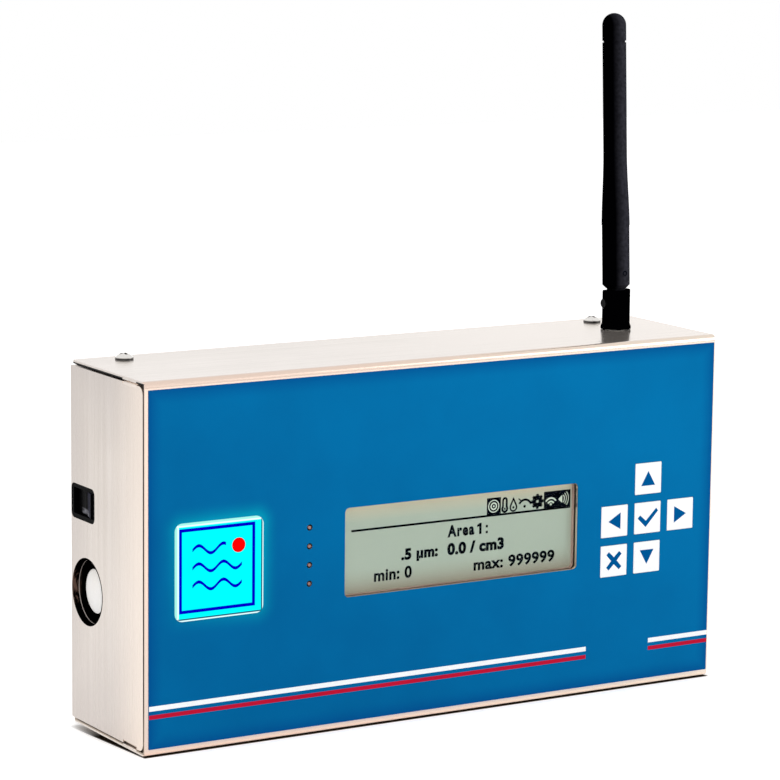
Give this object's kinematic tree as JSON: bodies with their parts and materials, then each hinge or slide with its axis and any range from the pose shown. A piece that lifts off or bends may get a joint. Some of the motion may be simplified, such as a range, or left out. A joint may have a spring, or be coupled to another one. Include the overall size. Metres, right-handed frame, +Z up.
{
  "type": "airborne particle counter",
  "caption": "Airborne particle counter in a folded stainless enclosure with face film, lit badge, display, keys, rocker switch, sampling port and folding antenna.",
  "frame": {"origin": "under the middle of the enclosure, on the plane of the lower screw heads", "axes": "+Z up; X along the face from left to right; +Y from the face to the back"},
  "size_m": [0.2117, 0.0527, 0.221],
  "materials": {
    "brushed_steel": "satin stainless, vertical grain on the ends",
    "screw_steel": "polished pan heads",
    "zinc_steel": "zinc plate",
    "blue_overlay": "printed film, satin",
    "clear_window": "clear",
    "display_glass": "clear front, polarised",
    "lit_backlight": "diffusing",
    "beige_plastic": "moulded",
    "clear_plastic": "clear moulded",
    "lit_badge": "backlit translucent",
    "white_plastic": "moulded",
    "led_white": "phosphor",
    "light_pipe": "clear",
    "white_key": "satin",
    "black_plastic": "moulded",
    "rocker_grey": "moulded",
    "antenna_black": "fine texture",
    "black_rubber": "matt",
    "circuit_board": "solder mask",
    "brass": "gold plate",
    "white_filter": "sintered",
    "aluminium": "machined, anodised"
  },
  "bodies": {
    "enclosure": {"alarm_buzzer": "black_plastic", "antenna_coupling": "brass", "antenna_jack": "brass", "antenna_jack_nut": "brass", "badge_leds": "led_white", "badge_light_box": "white_plastic", "badge_panel": "lit_badge", "badge_rim": "clear_plastic", "board_nuts": "zinc_steel", "board_screws": "zinc_steel", "board_spacers": "white_plastic", "board_standoffs": "brass", "board_studs": "zinc_steel", "clinch_nuts": "screw_steel", "cover_screws": "screw_steel", "display_board": "circuit_board", "display_gasket": "black_rubber", "display_window": "clear_window", "face_overlay": "blue_overlay", "fan_frame": "black_plastic", "front_cover": "brushed_steel", "indicator_leds": "led_white", "indicator_pipes": "light_pipe", "inlet_nozzle": "aluminium", "key_switches": "black_plastic", "laser_module": "brass", "lcd_backlight": "lit_backlight", "lcd_frame": "beige_plastic", "lcd_glass": "display_glass", "main_board": "circuit_board", "port_filter": "white_filter", "port_liner": "black_plastic", "power_jack": "black_plastic", "power_jack_nut": "brass", "power_switch_body": "black_plastic", "power_switch_terminals": "brass", "radio_module": "brushed_steel", "rear_chassis": "brushed_steel", "sensor_body": "aluminium", "sensor_lid": "aluminium", "sensor_screws": "zinc_steel"},
    "rocker": {"power_switch_rocker": "rocker_grey"},
    "antenna_swivel_body": {"antenna_knuckle": "antenna_black", "antenna_pin": "brass"},
    "antenna_whip_body": {"antenna_sleeve": "antenna_black", "antenna_tube": "antenna_black", "antenna_tip": "antenna_black", "antenna_element": "brass"},
    "fan_wheel": {"fan_rotor": "black_plastic"},
    "key_up_body": {"key_up": "white_key"},
    "key_left_body": {"key_left": "white_key"},
    "key_confirm_body": {"key_confirm": "white_key"},
    "key_right_body": {"key_right": "white_key"},
    "key_cancel_body": {"key_cancel": "white_key"},
    "key_down_body": {"key_down": "white_key"}
  },
  "joints": [
    {"name": "power_rocker", "type": "hinge", "parent": "enclosure", "child": "rocker", "pos_m": [-0.1024, 0.01635, 0.073], "axis": [0, 0, 1], "range_deg": [0, 18]},
    {"name": "antenna_swivel", "type": "hinge", "parent": "enclosure", "child": "antenna_swivel_body", "pos_m": [0.0829, 0, 0.117], "axis": [0, 0, 1], "continuous": true},
    {"name": "antenna_fold", "type": "hinge", "parent": "antenna_swivel_body", "child": "antenna_whip_body", "pos_m": [0.0829, 0, 0.1259], "axis": [-1, 0, 0], "range_deg": [-2.9, 87.1]},
    {"name": "fan_spin", "type": "hinge", "parent": "enclosure", "child": "fan_wheel", "pos_m": [-0.038, 0.01175, 0.0454], "axis": [1, 0, 0], "continuous": true},
    {"name": "key_up_press", "type": "slide", "parent": "enclosure", "child": "key_up_body", "axis": [0, 1, 0], "range_m": [0, 0.0004], "stiffness_N_per_m": 400, "springref_m": -0.001},
    {"name": "key_left_press", "type": "slide", "parent": "enclosure", "child": "key_left_body", "axis": [0, 1, 0], "range_m": [0, 0.0004], "stiffness_N_per_m": 400, "springref_m": -0.001},
    {"name": "key_confirm_press", "type": "slide", "parent": "enclosure", "child": "key_confirm_body", "axis": [0, 1, 0], "range_m": [0, 0.0004], "stiffness_N_per_m": 400, "springref_m": -0.001},
    {"name": "key_right_press", "type": "slide", "parent": "enclosure", "child": "key_right_body", "axis": [0, 1, 0], "range_m": [0, 0.0004], "stiffness_N_per_m": 400, "springref_m": -0.001},
    {"name": "key_cancel_press", "type": "slide", "parent": "enclosure", "child": "key_cancel_body", "axis": [0, 1, 0], "range_m": [0, 0.0004], "stiffness_N_per_m": 400, "springref_m": -0.001},
    {"name": "key_down_press", "type": "slide", "parent": "enclosure", "child": "key_down_body", "axis": [0, 1, 0], "range_m": [0, 0.0004], "stiffness_N_per_m": 400, "springref_m": -0.001}
  ]
}
